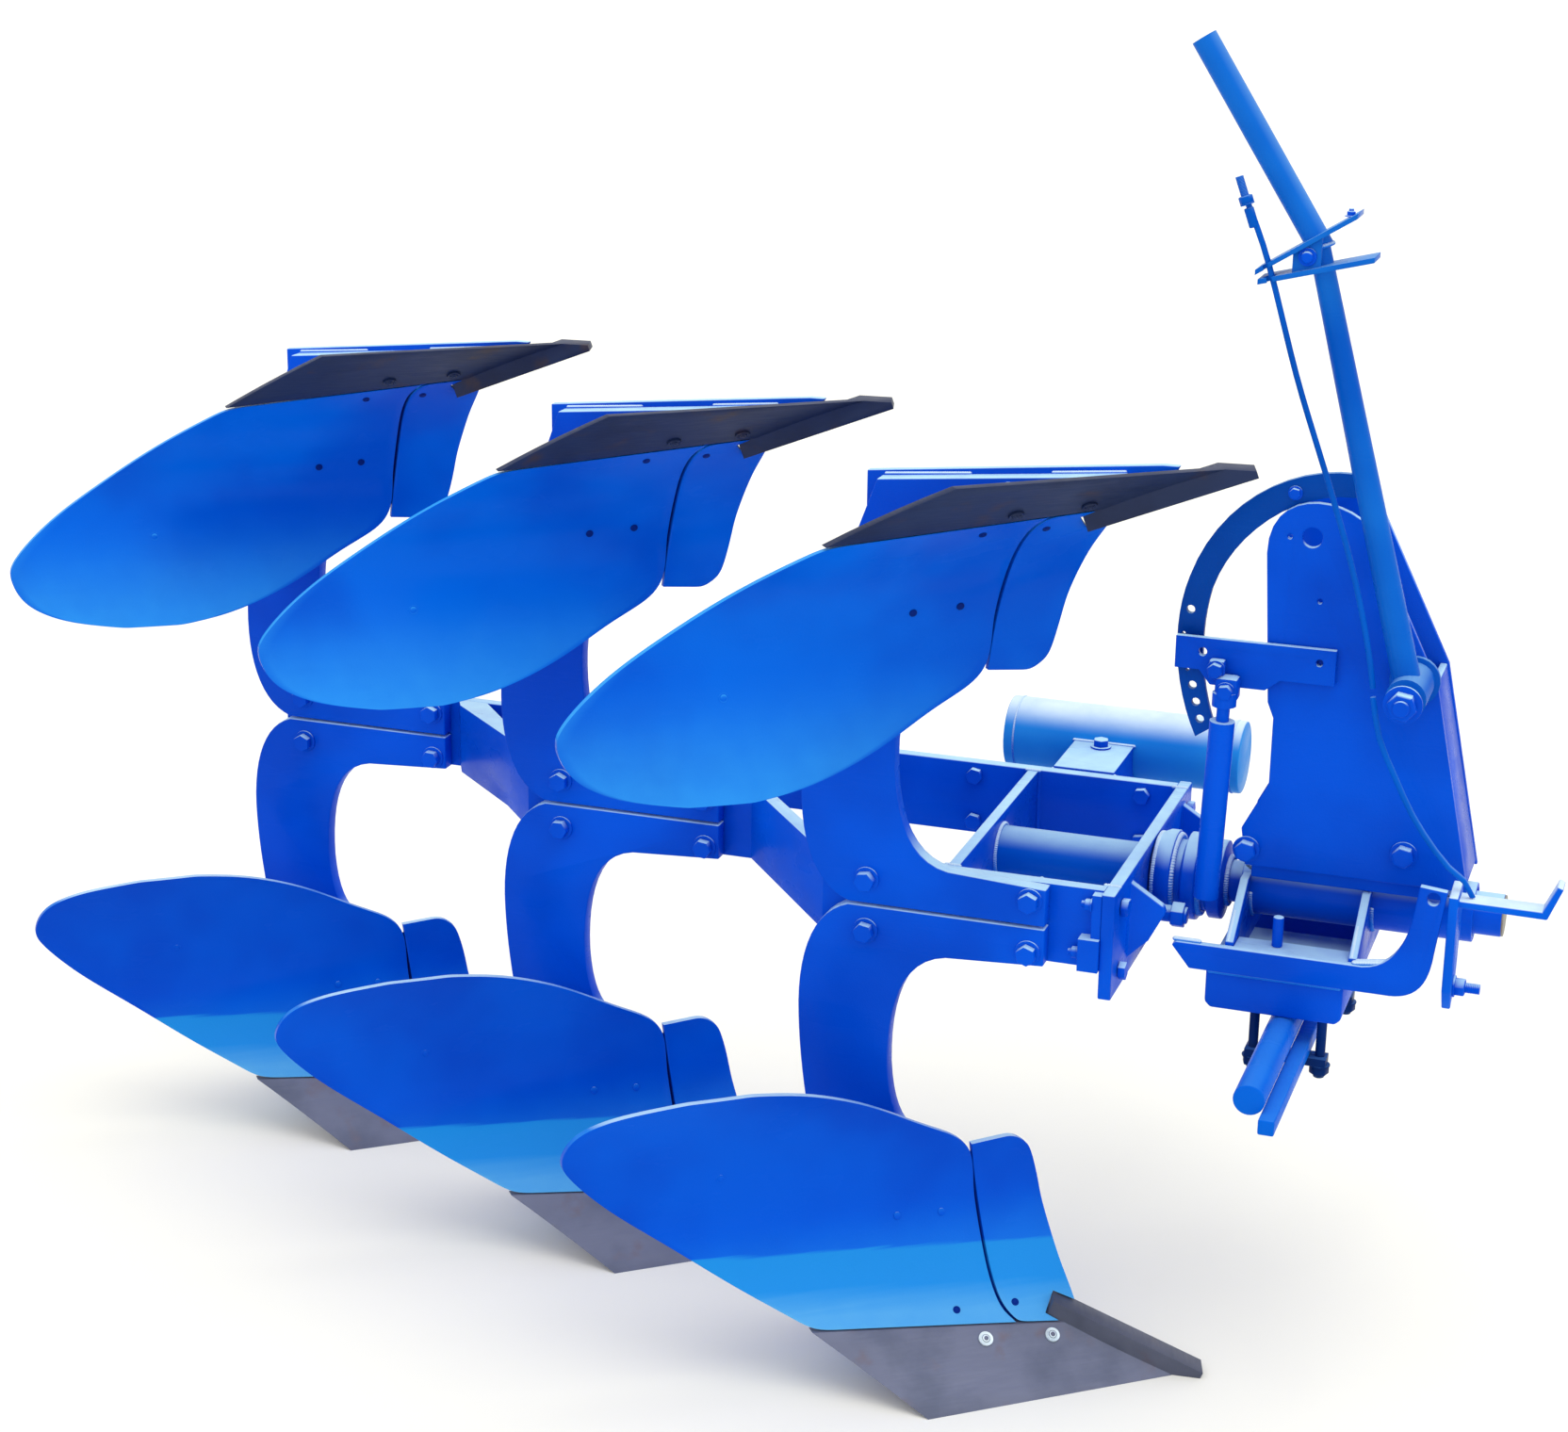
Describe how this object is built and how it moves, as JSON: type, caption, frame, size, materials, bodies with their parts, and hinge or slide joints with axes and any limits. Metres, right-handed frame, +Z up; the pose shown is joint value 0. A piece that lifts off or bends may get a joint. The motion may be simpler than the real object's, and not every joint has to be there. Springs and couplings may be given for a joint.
{
  "type": "mounted reversible moldboard plough",
  "caption": "Mounted reversible plough with mirrored upper and lower moldboard bodies on a turnover frame, headstock mast, crossbar and hand lever.",
  "frame": {"origin": "middle of the bounding box at floor level, where the lower shares stand", "axes": "+X forward to the tractor along the turnover axis, +Y to the left, +Z up"},
  "size_m": [2.368, 1.0932, 1.8462],
  "materials": {
    "frame_paint": "brushed-on blue gloss enamel over welded steel plate, pale where light falls on cut edges",
    "board_paint": "sprayed blue gloss enamel on curved sheet",
    "worn_steel": "bare ground steel with a grey cast and dark scale",
    "dark_fastener": "dark oiled steel with overspray",
    "painted_cable": "thin blue overspray on wire cable"
  },
  "bodies": {
    "headstock": {"bearing_tube": "frame_paint", "mast_plate_near": "frame_paint", "mast_plate_far": "frame_paint", "mast_front_wall": "frame_paint", "quadrant_arc": "frame_paint", "quadrant_bar": "frame_paint", "strut": "frame_paint", "cross_gusset_rear": "frame_paint", "cross_gusset_front": "frame_paint", "hitch_rail_near": "frame_paint", "hitch_rail_far": "frame_paint", "hitch_box": "frame_paint", "crossbar": "frame_paint", "crossbar_keeper": "frame_paint", "clamp_bolts_near": "dark_fastener", "clamp_bolts_far": "dark_fastener", "latch": "frame_paint", "cable_lower": "painted_cable"},
    "turnover_frame": {"near_beam": "frame_paint", "far_beam": "frame_paint", "rear_cross_plate": "frame_paint", "front_plate": "frame_paint", "shaft_sleeve": "frame_paint", "turnover_shaft": "frame_paint", "stop_rod": "frame_paint", "counterweight": "frame_paint", "counterweight_saddle": "frame_paint", "leg_lower_1": "frame_paint", "mouldboard_lower_1": "board_paint", "shin_lower_1": "board_paint", "share_lower_1": "worn_steel", "landside_lower_1": "frame_paint", "leg_upper_1": "frame_paint", "mouldboard_upper_1": "board_paint", "shin_upper_1": "board_paint", "share_upper_1": "worn_steel", "landside_upper_1": "frame_paint", "leg_lower_2": "frame_paint", "mouldboard_lower_2": "board_paint", "shin_lower_2": "board_paint", "share_lower_2": "worn_steel", "landside_lower_2": "frame_paint", "leg_upper_2": "frame_paint", "mouldboard_upper_2": "board_paint", "shin_upper_2": "board_paint", "share_upper_2": "worn_steel", "landside_upper_2": "frame_paint", "leg_lower_3": "frame_paint", "mouldboard_lower_3": "board_paint", "shin_lower_3": "board_paint", "share_lower_3": "worn_steel", "landside_lower_3": "frame_paint", "leg_upper_3": "frame_paint", "mouldboard_upper_3": "board_paint", "shin_upper_3": "board_paint", "share_upper_3": "worn_steel", "landside_upper_3": "frame_paint"},
    "control_lever": {"control_lever": "frame_paint", "cable_upper": "painted_cable"}
  },
  "joints": [
    {"name": "turnover", "type": "hinge", "parent": "headstock", "child": "turnover_frame", "pos_m": [0.6596, 0.0697, 0.655], "axis": [-1, 0, 0], "range_deg": [0, 180]},
    {"name": "lever_swing", "type": "hinge", "parent": "headstock", "child": "control_lever", "pos_m": [0.9596, -0.0523, 1], "axis": [0, 1, 0], "range_deg": [0, 45]}
  ]
}
